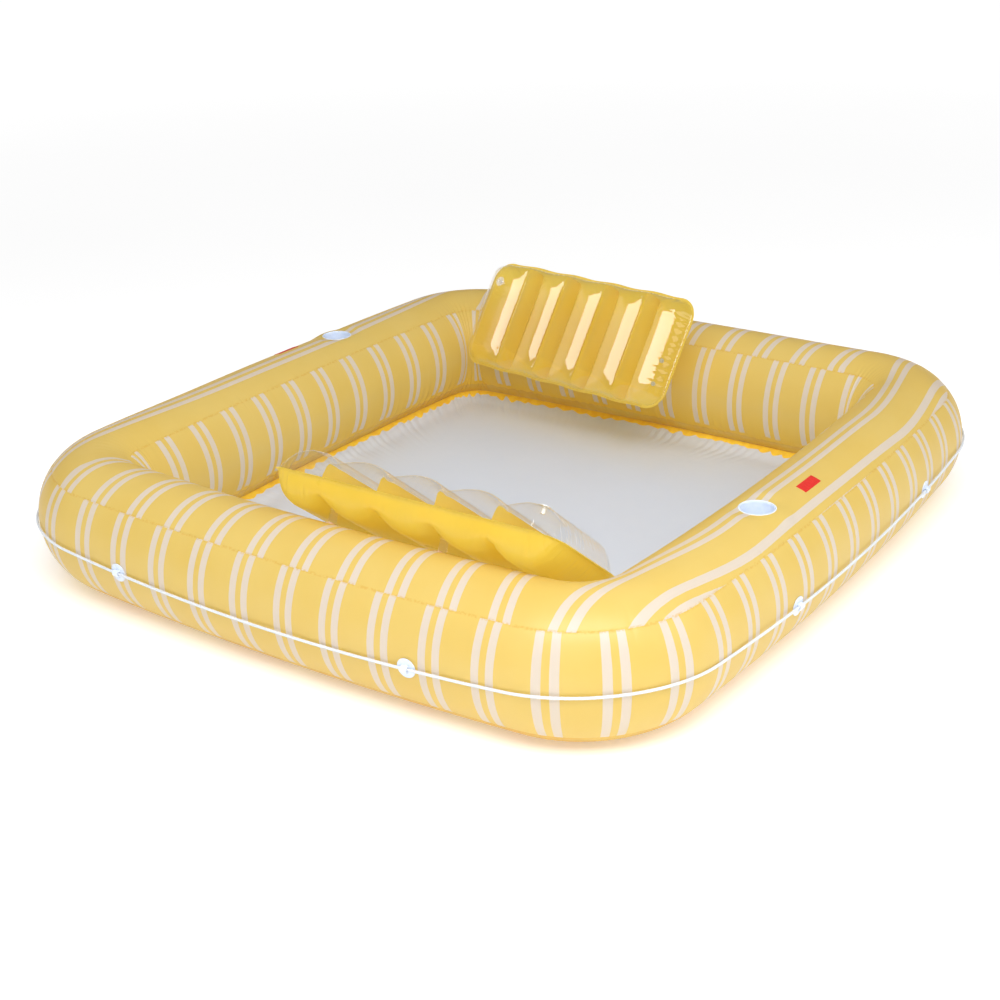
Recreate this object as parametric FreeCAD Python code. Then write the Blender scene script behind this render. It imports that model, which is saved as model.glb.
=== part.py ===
import FreeCAD, Part
import math
import os

# An inflatable pool float for two: a square ring of one large air tube around a sunken floor
# sheet, with two ribbed pillows leaning on the front and back of the ring, two cup wells, a grab
# rope in eight holders and a screw valve.
#
# Frame: +Z up, origin on the ground under the middle of the ring, -Y is the front. The whole
# float looks the same after half a turn about Z, apart from how the pillows lie.
# Air skins are thin closed shells, so that the mass lies where the sheet material is.

V = FreeCAD.Vector
UP = V(0, 0, 1)

# ---- driving dimensions, mm ---------------------------------------------------------------
# ring: centreline of the air tube
SIDE_X = 826.1            # origin to the middle of the left and right sides
SIDE_Y = 871.5            # origin to the middle of the front and back sides
CORNER_X = 616.4          # centre of each corner's arc
CORNER_Y = 662.8
CORNER_R = 188.1          # radius of the centreline round a corner
# ring: section of the air tube
TUBE_W = 150.0            # half width
TUBE_H = 170.0            # half height before the floor flattens it
TUBE_Z = 166.0            # height of the tube's middle
SKIN = 1.2                # wall of every air skin
OUTER_SEAM = 45.8         # seams, as angles round the section from straight outwards
INNER_SEAM = 127.6
WALL_SEAM = 220.0         # foot of the striped inner wall
FLOOR_SEAM = 235.0        # weld of the floor sheet, on the bottom panel
UNDER_SEAM = 314.2
# floor sheet
SHEET = 1.2
SHEET_Z = 1.5             # underside of the sheet above the ground
SHEET_SLOPE = 58.0        # width of the sloping border below the weld
SHEET_GAP = 0.4           # sheet edge to the tube's skin
# cup wells
CUP_X = 830.0
CUP_Y = 256.0
CUP_R = 39.0
CUP_WALL = 1.5
CUP_DEPTH = 86.0
CUP_RIM_R = 44.0
CUP_RIM_Z = 331.0
CUP_FIT = 0.3             # rim to the hole in the top panel
# labels
LABEL_Y = 70.0            # middle of the label along its side
LABEL_LONG = 80.0
LABEL_FROM = 68.3         # angles round the tube's section
LABEL_TO = 78.7
LABEL_THICK = 0.8
LABEL_LIFT = 0.1
# grab rope
ROPE_R = 3.5
ROPE_OUT = 156.0          # rope centre to the tube's centreline
ROPE_Z = 146.0            # height in the middle of a side
ROPE_RISE = 47.0          # how much the corners pull it up
ROPE_SIDE_POINTS = 8
ROPE_CORNER_POINTS = 5
ARC_SHARE = 0.45          # of the shorter run, used up by each bend
# rope holders: distance of each one from the middle of its side
HOLDER_FRONT = (-457.0, 405.0)
HOLDER_RIGHT = (-327.0, 427.0)
HOLDER_DISC_R = 23.0
HOLDER_DISC = 1.5
HOLDER_LIFT = 0.3
HOLDER_NUB_R = 8.0
HOLDER_NUB_LONG = 15.0
HOLDER_HOLE_R = 4.6
# main valve, on the back side of the ring
VALVE_ANGLE = 27.0
VALVE_BORE_R = 16.0
VALVE_TUBE_R = 19.0
VALVE_FLANGE_R = 32.0
VALVE_FLANGE = 2.5
VALVE_LIFT = 0.3
VALVE_DEEP = 20.0
VALVE_SEAT_R = 12.0
VALVE_SEAT = 2.0
VALVE_HOLE_FIT = 0.4
POST_X = 27.0             # tether post on the flange
POST_R = 2.0
POST_HIGH = 14.0
FLAP_R = 15.0
FLAP = 1.2
FLAP_GAP = 0.15
PLUG_FIT = 0.05           # radial play of the screw plug in its bore
PLUG_LONG = 9.0
NECK_R = 13.0
NECK_LONG = 3.4
CAP_R = 20.0
CAP_HIGH = 6.0
CAP_RIDGE_R = 1.6         # grip ridges round the cap
CAP_RIDGE_STEP = 20       # degrees
CAP_WALL = 4.0
TETHER_RING_R = 19.0
TETHER_THICK = 2.0
TETHER_W = 8.0
TETHER_FIT = 0.3
# pillows, each in its own frame: x along it, z up its height, -y towards the clear front
PILLOW_L = 792.0
PILLOW_H = 342.0
PILLOW_FLANGE = 8.0
PILLOW_CORNER = 45.0      # outline radius at the four corners
PILLOW_LOBES = 5
PILLOW_CREST = 67.5       # film above the weld plane along the middle of a lobe
PILLOW_DIP = 37.5         # film above the weld plane at a rib
PILLOW_SHOULDER = 60.0    # rounding towards the long edges
END_LOBE_TOP = 0.55       # crest of an end lobe, in lobe widths from its rib
RIB_SHORT = 48.0          # a rib stops this far inside the long edges
RIB_GAP = 0.3
BACK_PILLOW = dict(centre=V(-218, 638, 329), turn=-10.4, lean=33.5, roll=1.3)
FRONT_PILLOW = dict(centre=V(268, -695, 336), turn=180.1, lean=51.0, roll=-1.0)
# pillow valve, in the clear film near the top of the end lobe
PV_UP = 88.0              # above the pillow's middle
PV_DISC_R = 15.0
PV_DISC = 1.0
PV_STEM_R = 5.5
PV_BORE_R = 3.4
PV_STEM_LONG = 16.0
PV_FIT = 0.05
PV_PLUG_LONG = 11.0
PV_CAP_R = 8.0
PV_CAP = 1.6
PV_CAP_GAP = 0.1
PV_LIP_W = 5.0            # pull lip on the plug
# end snaps of a pillow, two small discs on the end lobe
END_SNAP_R = 6.5
END_SNAP = 2.0
END_SNAP_UP = (-30.0, -100.0)
END_SNAP_TURN = 40.0      # round the end lobe's arc, from the pillow's length
# tabs at two of the ribs, which tie the pillow to snap studs on the ring
TAB_RIBS = (1, 3)
TAB_W = 24.0
TAB = 1.5
TAB_ROOT = 13.0           # end of a tab above the film at its rib
TAB_ANGLE = 118.0         # studs, round the ring's section
TAB_AXIS_LIFT = 6.5       # hinge line above the ring's skin
PATCH_R = 13.0
PATCH = 1.0
STUD_R = 5.0
STUD = 1.6
STUD_LIFT = 0.3


def export(name, shape):
    shape.exportStep("parts/%s.step" % name)


def rad(angle):
    return math.radians(angle)


# ---- the ring's centreline: eight arcs that meet tangentially -----------------------------
def side_radius(middle, along, across):
    """Radius of a side's bow, from tangency with the corner arcs at its ends."""
    rise = middle - across
    return (along ** 2 + rise ** 2 - CORNER_R ** 2) / (2 * (rise - CORNER_R))


BOW_FRONT_R = side_radius(SIDE_Y, CORNER_X, CORNER_Y)
BOW_RIGHT_R = side_radius(SIDE_X, CORNER_Y, CORNER_X)
BOW_FRONT_HALF = math.degrees(math.asin(CORNER_X / (BOW_FRONT_R - CORNER_R)))
BOW_RIGHT_HALF = math.degrees(math.asin(CORNER_Y / (BOW_RIGHT_R - CORNER_R)))


def arc_of(centre, radius, start, stop):
    return dict(centre=centre, radius=radius, start=start, stop=stop)


FRONT = arc_of(V(0, BOW_FRONT_R - SIDE_Y, 0), BOW_FRONT_R, -90 - BOW_FRONT_HALF, -90 + BOW_FRONT_HALF)
RIGHT = arc_of(V(SIDE_X - BOW_RIGHT_R, 0, 0), BOW_RIGHT_R, -BOW_RIGHT_HALF, BOW_RIGHT_HALF)
FRONT_CORNER = arc_of(V(CORNER_X, -CORNER_Y, 0), CORNER_R, FRONT["stop"], RIGHT["start"])
BACK_CORNER = arc_of(V(CORNER_X, CORNER_Y, 0), CORNER_R, RIGHT["stop"], 90 - BOW_FRONT_HALF)


def half_turn(arc):
    return arc_of(arc["centre"] * -1, arc["radius"], arc["start"] + 180, arc["stop"] + 180)


BACK = half_turn(FRONT)
LEFT = half_turn(RIGHT)
HALF_LOOP = [FRONT, FRONT_CORNER, RIGHT, BACK_CORNER]
LOOP = HALF_LOOP + [half_turn(arc) for arc in HALF_LOOP]


def arc_point(arc, angle, out, z):
    direction = V(math.cos(rad(angle)), math.sin(rad(angle)), 0)
    return arc["centre"] + direction * (arc["radius"] + out) + UP * z


def revolve_face(face, arc):
    """Sweep a face, drawn with x outwards and z up, along one arc of the centreline."""
    swept = face.copy()
    swept.translate(V(arc["radius"], 0, 0))
    swept.rotate(V(0, 0, 0), UP, arc["start"])
    swept.translate(arc["centre"])
    return swept.revolve(arc["centre"], UP, arc["stop"] - arc["start"])


def fuse_all(solids):
    return solids[0].multiFuse(solids[1:]).removeSplitter()


def sweep_ring(face):
    return fuse_all([revolve_face(face, arc) for arc in LOOP])


# ---- the tube's section ------------------------------------------------------------------
def section_point(inset, angle):
    return V((TUBE_W - inset) * math.cos(rad(angle)), 0, TUBE_Z + (TUBE_H - inset) * math.sin(rad(angle)))


def section_arc(inset, start, stop):
    centre = V(0, 0, TUBE_Z)
    ellipse = Part.Ellipse(centre + UP * (TUBE_H - inset), centre + V(TUBE_W - inset, 0, 0), centre)
    first = rad((90 - stop) % 360)
    return ellipse.toShape(first, first + rad(stop - start))


def face_of(edges):
    return Part.Face(Part.Wire(Part.__sortEdges__(edges)))


def line(a, b):
    return Part.makeLine(a, b)


def strip_face(start, stop, outside=0.0, inside=SKIN):
    """A strip of skin between two angles of the section."""
    return face_of([
        section_arc(outside, start, stop),
        line(section_point(outside, stop), section_point(inside, stop)),
        section_arc(inside, start, stop),
        line(section_point(inside, start), section_point(outside, start)),
    ])


def flat_angle(inset):
    """Where the flattened underside meets the round of the section."""
    return math.degrees(math.asin((TUBE_Z - inset) / (TUBE_H - inset)))


def underside_face(start, stop):
    edges = []
    for inset in (0.0, SKIN):
        left = 180 + flat_angle(inset)
        right = 360 - flat_angle(inset)
        edges.append(section_arc(inset, start, left))
        edges.append(line(section_point(inset, left), section_point(inset, right)))
        edges.append(section_arc(inset, right, stop))
    for angle in (start, stop):
        edges.append(line(section_point(0, angle), section_point(SKIN, angle)))
    return face_of(edges)


def turn_at(arc, along):
    """Angle about the arc's centre of a spot this far along a side from its middle."""
    return 0.5 * (arc["start"] + arc["stop"]) + math.degrees(math.asin(along / (arc["radius"] + TUBE_W)))


def tube_placement(arc, along, angle, lift):
    """On the tube's surface: z out of the skin, x along the ring, y up round the section."""
    turn = turn_at(arc, along)
    out = V(math.cos(rad(turn)), math.sin(rad(turn)), 0)
    tangent = V(-out.y, out.x, 0)
    normal = out * (math.cos(rad(angle)) / TUBE_W) + UP * (math.sin(rad(angle)) / TUBE_H)
    normal.normalize()
    skin_point = section_point(0, angle)
    point = arc_point(arc, turn, skin_point.x, skin_point.z) + normal * lift
    return FreeCAD.Placement(point, FreeCAD.Rotation(tangent, V(0, 0, 0), normal, "ZXY"))


def placed(shape, placement):
    moved = shape.copy()
    moved.Placement = placement.multiply(moved.Placement)
    return moved


def disc(radius, thick, z=0.0, x=0.0, y=0.0):
    return Part.makeCylinder(radius, thick, V(x, y, z))


# ---- cup wells ---------------------------------------------------------------------------
def cup_well(sign):
    x = sign * CUP_X
    y = -sign * CUP_Y
    bottom = CUP_RIM_Z - CUP_DEPTH
    outer = disc(CUP_R + CUP_WALL, CUP_DEPTH, bottom, x, y)
    rim = disc(CUP_RIM_R, CUP_WALL, CUP_RIM_Z - CUP_WALL, x, y)
    hollow = disc(CUP_R, CUP_DEPTH, bottom + CUP_WALL, x, y)
    return outer.fuse(rim).cut(hollow).removeSplitter()


def cup_cutter(sign):
    return disc(CUP_RIM_R + CUP_FIT, 2 * TUBE_W, TUBE_Z + 0.5 * TUBE_H, sign * CUP_X, -sign * CUP_Y)


# ---- main valve --------------------------------------------------------------------------
def valve_base():
    tube = disc(VALVE_TUBE_R, VALVE_DEEP + VALVE_FLANGE, -VALVE_DEEP)
    flange = disc(VALVE_FLANGE_R, VALVE_FLANGE)
    seat_hole = disc(VALVE_SEAT_R, VALVE_DEEP, -VALVE_DEEP)
    bore = disc(VALVE_BORE_R, VALVE_DEEP + VALVE_FLANGE, -VALVE_DEEP + VALVE_SEAT)
    post = disc(POST_R, POST_HIGH, VALVE_FLANGE, POST_X)
    return fuse_all([tube, flange, post]).cut(seat_hole).cut(bore)


def valve_flap():
    """The soft flap that air pressure shuts against the inner end of the valve tube."""
    return disc(FLAP_R, FLAP, -VALVE_DEEP - FLAP_GAP - FLAP)


CAP_Z = VALVE_FLANGE + NECK_LONG


def valve_cap():
    plug = disc(VALVE_BORE_R - PLUG_FIT, PLUG_LONG, VALVE_FLANGE - PLUG_LONG)
    neck = disc(NECK_R, NECK_LONG, VALVE_FLANGE)
    head = disc(CAP_R, CAP_HIGH, CAP_Z)
    socket = disc(NECK_R - CAP_WALL, PLUG_LONG - VALVE_SEAT, VALVE_FLANGE - PLUG_LONG)
    ridges = [disc(CAP_RIDGE_R, CAP_HIGH, CAP_Z, CAP_R * math.cos(rad(turn)), CAP_R * math.sin(rad(turn)))
              for turn in range(0, 360, CAP_RIDGE_STEP)]
    return fuse_all([plug, neck, head] + ridges).cut(socket)


def valve_tether():
    z = VALVE_FLANGE + 0.5 * (NECK_LONG - TETHER_THICK)
    ring = disc(TETHER_RING_R, TETHER_THICK, z)
    strap = Part.makeBox(POST_X, TETHER_W, TETHER_THICK, V(0, -0.5 * TETHER_W, z))
    eye = disc(0.5 * TETHER_W, TETHER_THICK, z, POST_X)
    solid = fuse_all([ring, strap, eye]).cut(disc(NECK_R + TETHER_FIT, TETHER_THICK, z))
    return solid.cut(disc(POST_R + TETHER_FIT, TETHER_THICK, z, POST_X))


# ---- rope and its holders ----------------------------------------------------------------
def rope_height(point):
    """Level along the sides, pulled up round the corners."""
    x = point.x / (SIDE_X + TUBE_W)
    y = point.y / (SIDE_Y + TUBE_W)
    return ROPE_Z + ROPE_RISE * (x * y) ** 2


def rope_points():
    points = []
    for arc in LOOP:
        count = ROPE_CORNER_POINTS if arc["radius"] == CORNER_R else ROPE_SIDE_POINTS
        step = (arc["stop"] - arc["start"]) / count
        spread = (arc["radius"] + ROPE_OUT) * (1 / math.cos(rad(0.5 * step)) - 1)
        for i in range(count):
            point = arc_point(arc, arc["start"] + step * (i + 0.5), ROPE_OUT + spread, 0)
            points.append(point + UP * rope_height(point))
    return points


def unit(a, b):
    direction = b - a
    direction.normalize()
    return direction


def rope_path(points):
    """Straight runs joined by tangent arcs, closed on itself; returns edges and length."""
    bends = []
    for i, point in enumerate(points):
        before = points[i - 1]
        after = points[(i + 1) % len(points)]
        arriving = unit(before, point)
        leaving = unit(point, after)
        reach = ARC_SHARE * min((point - before).Length, (after - point).Length)
        half = 0.5 * arriving.getAngle(leaving)
        inward = leaving - arriving
        inward.normalize()
        radius = reach / math.tan(half)
        middle = point + inward * (radius / math.cos(half) - radius)
        bends.append((point - arriving * reach, middle, point + leaving * reach, radius))
    edges = []
    for i, bend in enumerate(bends):
        following = bends[(i + 1) % len(bends)]
        edges.append(Part.Arc(bend[0], bend[1], bend[2]).toShape())
        edges.append(Part.LineSegment(bend[2], following[0]).toShape())
    print("rope: smallest bend radius %.0f mm" % min(bend[3] for bend in bends))
    return edges


def grab_rope():
    edges = rope_path(rope_points())
    length = sum(edge.Length for edge in edges)
    half = len(edges) // 2
    solids = []
    for part in (edges[:half], edges[half:]):
        start = part[0].Vertexes[0].Point
        tangent = part[0].tangentAt(part[0].FirstParameter)
        circle = Part.Wire(Part.Circle(start, tangent, ROPE_R).toShape())
        solids.append(Part.Wire(part).makePipeShell([circle], True, False))
    rope = solids[0].fuse(solids[1])
    print("rope: length %.0f mm, volume / (section x length) %.4f"
          % (length, rope.Volume / (math.pi * ROPE_R ** 2 * length)))
    return rope


def rope_holder(side, along):
    """Welded disc with a bridge over the rope."""
    rope = arc_point(side, turn_at(side, along), ROPE_OUT, 0)
    rope += UP * rope_height(rope)
    angle = math.degrees(math.asin((rope.z - TUBE_Z) / TUBE_H))
    place = tube_placement(side, along, angle, 0)
    core = place.inverse().multVec(rope)
    base = disc(HOLDER_DISC_R, HOLDER_DISC, HOLDER_LIFT)
    foot = disc(HOLDER_NUB_R, core.z - HOLDER_LIFT, HOLDER_LIFT)
    nub_end = V(-0.5 * HOLDER_NUB_LONG, core.y, core.z)
    nub = Part.makeCylinder(HOLDER_NUB_R, HOLDER_NUB_LONG, nub_end, V(1, 0, 0))
    room = 4 * HOLDER_NUB_R
    above = Part.makeBox(room, room, room, V(-0.5 * room, -0.5 * room, HOLDER_LIFT))
    hole_end = V(-HOLDER_DISC_R, core.y, core.z)
    hole = Part.makeCylinder(HOLDER_HOLE_R, 2 * HOLDER_DISC_R, hole_end, V(1, 0, 0))
    return placed(fuse_all([base, foot, nub.common(above)]).cut(hole), place)


# ---- pillows -----------------------------------------------------------------------------
INNER_L = PILLOW_L - 2 * PILLOW_FLANGE
INNER_H = PILLOW_H - 2 * PILLOW_FLANGE
LOBE = INNER_L / PILLOW_LOBES
RIB_X = [-0.5 * INNER_L + LOBE * (i + 1) for i in range(PILLOW_LOBES - 1)]


def lobe_arcs(inset):
    dip = PILLOW_DIP - inset
    crest = PILLOW_CREST - inset
    half = 0.5 * INNER_L - inset
    knots = [V(-half, 0, 0)] + [V(x, -dip, 0) for x in RIB_X] + [V(half, 0, 0)]
    edges = []
    for i, (a, b) in enumerate(zip(knots, knots[1:])):
        if i == 0:
            top = V(b.x - END_LOBE_TOP * LOBE, -crest, 0)
        elif i == PILLOW_LOBES - 1:
            top = V(a.x + END_LOBE_TOP * LOBE, -crest, 0)
        else:
            top = V(0.5 * (a.x + b.x), -crest, 0)
        edges.append(Part.Arc(a, top, b).toShape())
    return edges


def lobes_prism(inset):
    """Across the lobes: a scalloped top, extruded up the pillow's height."""
    edges = lobe_arcs(inset)
    half = 0.5 * INNER_L - inset
    edges.append(line(V(-half, 0, 0), V(half, 0, 0)))
    face = face_of(edges)
    face.translate(V(0, 0, -PILLOW_H))
    return face.extrude(V(0, 0, 2 * PILLOW_H))


def shoulders_prism(inset):
    """Up the height: flat in the middle and rounded to the long edges, extruded along."""
    high = PILLOW_CREST - inset + 2
    half = 0.5 * INNER_H - inset
    flat = half - PILLOW_SHOULDER
    turn = PILLOW_SHOULDER * (1 - math.sqrt(0.5))
    drop = high * (1 - math.sqrt(0.5))
    points = [V(0, 0, -half), V(0, -high, -flat), V(0, -high, flat), V(0, 0, half)]
    face = face_of([
        Part.Arc(points[0], V(0, -high + drop, -half + turn), points[1]).toShape(),
        line(points[1], points[2]),
        Part.Arc(points[2], V(0, -high + drop, half - turn), points[3]).toShape(),
        line(points[3], points[0]),
    ])
    face.translate(V(-PILLOW_L, 0, 0))
    return face.extrude(V(2 * PILLOW_L, 0, 0))


def outline_prism(inset, depth):
    """The pillow's outline with rounded corners, extruded forwards."""
    box = Part.makeBox(PILLOW_L - 2 * inset, depth, PILLOW_H - 2 * inset,
                       V(inset - 0.5 * PILLOW_L, -depth, inset - 0.5 * PILLOW_H))
    corners = [edge for edge in box.Edges if abs(edge.tangentAt(edge.FirstParameter).y) > 0.9]
    return box.makeFillet(PILLOW_CORNER - inset, corners)


def pillow_film():
    """The clear front film: lobes towards -y, with the weld border in the y = 0 plane."""
    room = 2 * PILLOW_CREST
    outer = lobes_prism(0).common(shoulders_prism(0)).common(outline_prism(PILLOW_FLANGE, room))
    inner = lobes_prism(SKIN).common(shoulders_prism(SKIN)).common(outline_prism(PILLOW_FLANGE + SKIN, room))
    return outer.fuse(outline_prism(0, SKIN)).cut(inner).removeSplitter()


def pillow_ribs():
    depth = PILLOW_DIP - SKIN - RIB_GAP - 1
    long = PILLOW_H - 2 * RIB_SHORT
    return [Part.makeBox(SKIN, 2 * depth, long, V(x - 0.5 * SKIN, -depth, -0.5 * long)) for x in RIB_X]


def pointing_forward(solid):
    """From a +z axis to the pillow's forward direction, -y."""
    turned = solid.copy()
    turned.rotate(V(0, 0, 0), V(1, 0, 0), 90)
    return turned


END_LOBE = lobe_arcs(0)[0].Curve
PV_PLACE = V(END_LOBE.Center.x, END_LOBE.Center.y - END_LOBE.Radius, PV_UP)


def pillow_valve():
    flange = disc(PV_DISC_R, PV_DISC, RIB_GAP)
    stem = disc(PV_STEM_R, PV_STEM_LONG, RIB_GAP - PV_STEM_LONG)
    bore = disc(PV_BORE_R, PV_STEM_LONG + PV_DISC, RIB_GAP - PV_STEM_LONG)
    solid = pointing_forward(flange.fuse(stem).cut(bore))
    solid.translate(PV_PLACE)
    return solid


def pillow_plug():
    face_z = RIB_GAP + PV_DISC
    pin = disc(PV_BORE_R - PV_FIT, PV_PLUG_LONG, face_z - PV_PLUG_LONG)
    cap = disc(PV_CAP_R, PV_CAP, face_z + PV_CAP_GAP)
    lip = Part.makeBox(PV_CAP_R, PV_LIP_W, PV_CAP, V(0.6 * PV_CAP_R, -0.5 * PV_LIP_W, face_z + PV_CAP_GAP))
    solid = pointing_forward(fuse_all([pin, disc(PV_BORE_R - PV_FIT, PV_CAP_GAP, face_z), cap, lip]))
    solid.translate(PV_PLACE)
    return solid


def end_snaps():
    lobe = lobe_arcs(0)[-1].Curve
    out = V(math.cos(rad(END_SNAP_TURN)), -math.sin(rad(END_SNAP_TURN)), 0)
    snaps = []
    for up in END_SNAP_UP:
        foot = lobe.Center + out * (lobe.Radius + RIB_GAP) + UP * up
        snaps.append(Part.makeCylinder(END_SNAP_R, END_SNAP, foot, out))
    return snaps


def pillow_placement(pose):
    turn = FreeCAD.Rotation(UP, pose["turn"])
    lean = FreeCAD.Rotation(V(1, 0, 0), -pose["lean"])
    roll = FreeCAD.Rotation(V(0, 1, 0), -pose["roll"])
    return FreeCAD.Placement(pose["centre"], turn.multiply(lean).multiply(roll))


# ---- floor sheet, labels, snap studs ------------------------------------------------------
def outline(out, z):
    """The centreline, offset outwards, as one closed wire at height z."""
    edges = []
    for arc in LOOP:
        middle = 0.5 * (arc["start"] + arc["stop"])
        points = [arc_point(arc, angle, out, z) for angle in (arc["start"], middle, arc["stop"])]
        edges.append(Part.Arc(*points).toShape())
    return Part.Wire(edges)


def floor_sheet():
    """A shallow tray: welded to the ring at its rim, lying just off the ground inside."""
    weld = section_point(0, FLOOR_SEAM)
    rim_out = weld.x - SHEET_GAP

    def tray(lift):
        rim = outline(rim_out, weld.z + lift)
        flat = outline(rim_out - SHEET_SLOPE, SHEET_Z + lift)
        return Part.makeLoft([flat, rim], True, True)

    return tray(0).cut(tray(SHEET))


def label(side, sign):
    """A small rectangular patch lying on the top panel."""
    middle = 0.5 * (side["start"] + side["stop"])
    degrees = math.degrees(1.0 / (side["radius"] + TUBE_W * math.cos(rad(LABEL_FROM))))
    start = middle + (sign * LABEL_Y - 0.5 * LABEL_LONG) * degrees
    patch = arc_of(side["centre"], side["radius"], start, start + LABEL_LONG * degrees)
    return revolve_face(strip_face(LABEL_FROM, LABEL_TO, -LABEL_LIFT - LABEL_THICK, -LABEL_LIFT), patch)


def tab_line(side, pose, rib):
    """Where a tab meets the hinge line, and its root at the pillow, in the ring's frame."""
    place = pillow_placement(pose)
    across = place.multVec(V(RIB_X[rib], 0, 0)).x
    facing = 1 if side is FRONT else -1
    stud = tube_placement(side, across * facing, TAB_ANGLE, 0)
    local = place.inverse().multVec(stud.multVec(V(0, 0, TAB_AXIS_LIFT)))
    root = place.multVec(V(RIB_X[rib], PILLOW_DIP + TAB_ROOT, local.z))
    return stud, root


def hinge_height(side, pose):
    """Both tabs turn about one level line: the mean of their studs."""
    studs = [tab_line(side, pose, rib)[0].multVec(V(0, 0, TAB_AXIS_LIFT)) for rib in TAB_RIBS]
    return 0.5 * (studs[0].y + studs[1].y), 0.5 * (studs[0].z + studs[1].z)


def pillow_tabs(side, pose):
    y, z = hinge_height(side, pose)
    tabs = []
    for rib in TAB_RIBS:
        root = tab_line(side, pose, rib)[1]
        start = V(root.x, y, z)
        along = root - start
        strip = Part.makeBox(TAB_W, TAB, along.Length, V(-0.5 * TAB_W, -0.5 * TAB, 0))
        strip.Placement = FreeCAD.Placement(start, FreeCAD.Rotation(V(1, 0, 0), V(0, 0, 0), along, "ZXY"))
        tabs.append(strip)
    return tabs


def snap_studs(side, pose):
    """Welded patches with a stud, one under each tab."""
    studs = []
    for rib in TAB_RIBS:
        place = tab_line(side, pose, rib)[0]
        studs.append(placed(disc(PATCH_R, PATCH, STUD_LIFT).fuse(disc(STUD_R, STUD, STUD_LIFT + PATCH)), place))
    return studs


def group(solids):
    return Part.makeCompound(solids)


# ---- write the parts ----------------------------------------------------------------------
os.makedirs("parts", exist_ok=True)

top_panel = sweep_ring(strip_face(OUTER_SEAM, INNER_SEAM))
export("ring_top_panel", top_panel.cut(cup_cutter(1)).cut(cup_cutter(-1)))
valve_place = tube_placement(BACK, 0, VALVE_ANGLE, VALVE_LIFT)
valve_hole = placed(disc(VALVE_TUBE_R + VALVE_HOLE_FIT, 2 * VALVE_DEEP, -VALVE_DEEP), valve_place)
export("ring_outer_wall", sweep_ring(strip_face(UNDER_SEAM - 360, OUTER_SEAM)).cut(valve_hole))
export("ring_inner_wall", sweep_ring(strip_face(INNER_SEAM, WALL_SEAM)))
export("ring_bottom_panel", sweep_ring(underside_face(WALL_SEAM, UNDER_SEAM)))
export("floor_sheet", floor_sheet())

for name, sign, side in (("right", 1, RIGHT), ("left", -1, LEFT)):
    export("cup_well_" + name, cup_well(sign))
    export("label_" + name, label(side, -1))

export("grab_rope", grab_rope())
for name, side, spots in (("front", FRONT, HOLDER_FRONT), ("right", RIGHT, HOLDER_RIGHT),
                          ("back", BACK, HOLDER_FRONT), ("left", LEFT, HOLDER_RIGHT)):
    for number, along in enumerate(spots, 1):
        export("rope_holder_%s_%d" % (name, number), rope_holder(side, along))

export("main_valve_base", placed(valve_base(), valve_place))
export("main_valve_flap", placed(valve_flap(), valve_place))
export("main_valve_cap", placed(valve_cap(), valve_place))
export("main_valve_tether", placed(valve_tether(), valve_place))
print("main valve frame", valve_place)

for name, side, pose in (("front", FRONT, FRONT_PILLOW), ("back", BACK, BACK_PILLOW)):
    place = pillow_placement(pose)
    front_film = pillow_film()
    back_film = front_film.mirror(V(0, 0, 0), V(0, 1, 0))
    front_film = front_film.cut(pointing_forward(disc(PV_STEM_R + RIB_GAP, 2 * PV_STEM_LONG, -PV_STEM_LONG))
                                .translated(PV_PLACE))
    export(name + "_pillow_clear_film", placed(front_film, place))
    export(name + "_pillow_back_film", placed(back_film, place))
    export(name + "_pillow_ribs", placed(group(pillow_ribs()), place))
    export(name + "_pillow_valve", placed(pillow_valve(), place))
    export(name + "_pillow_plug", placed(pillow_plug(), place))
    export(name + "_pillow_end_snaps", placed(group(end_snaps()), place))
    export(name + "_pillow_tabs", group(pillow_tabs(side, pose)))
    export(name + "_snap_studs", group(snap_studs(side, pose)))
    print(name, "pillow hinge line y, z", hinge_height(side, pose), "forward", place.Rotation.multVec(V(0, -1, 0)),
          "plug at", place.multVec(PV_PLACE))
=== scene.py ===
import math

import bmesh
import bpy
import numpy as np
from mathutils import Matrix, Vector


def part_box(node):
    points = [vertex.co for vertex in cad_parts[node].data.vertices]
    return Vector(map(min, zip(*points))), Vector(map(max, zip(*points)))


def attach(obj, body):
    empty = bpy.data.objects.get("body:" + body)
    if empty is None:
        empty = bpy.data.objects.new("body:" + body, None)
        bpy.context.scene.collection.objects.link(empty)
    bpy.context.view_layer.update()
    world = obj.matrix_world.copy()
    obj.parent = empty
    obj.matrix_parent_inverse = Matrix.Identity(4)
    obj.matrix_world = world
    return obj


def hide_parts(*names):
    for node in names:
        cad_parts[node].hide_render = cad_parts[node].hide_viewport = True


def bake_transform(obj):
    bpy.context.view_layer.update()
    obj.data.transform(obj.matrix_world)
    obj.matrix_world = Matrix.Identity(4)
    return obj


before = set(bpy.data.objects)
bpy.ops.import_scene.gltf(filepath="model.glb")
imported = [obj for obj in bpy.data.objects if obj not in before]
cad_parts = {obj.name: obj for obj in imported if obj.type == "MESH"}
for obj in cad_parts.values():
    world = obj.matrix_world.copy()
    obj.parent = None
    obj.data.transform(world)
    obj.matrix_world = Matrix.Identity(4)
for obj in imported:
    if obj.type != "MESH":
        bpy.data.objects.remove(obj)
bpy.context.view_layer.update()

# An inflatable pool float: an air ring of striped vinyl round a pale floor sheet, two ribbed
# pillows with a clear front, cup wells, labels, a twisted grab rope in holders and a screw valve.
# All lengths are in metres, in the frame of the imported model. X runs across the ring, Y from its
# front to its back, Z up. Angles named SEAM run round the tube's section, in degrees from outwards.

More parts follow.
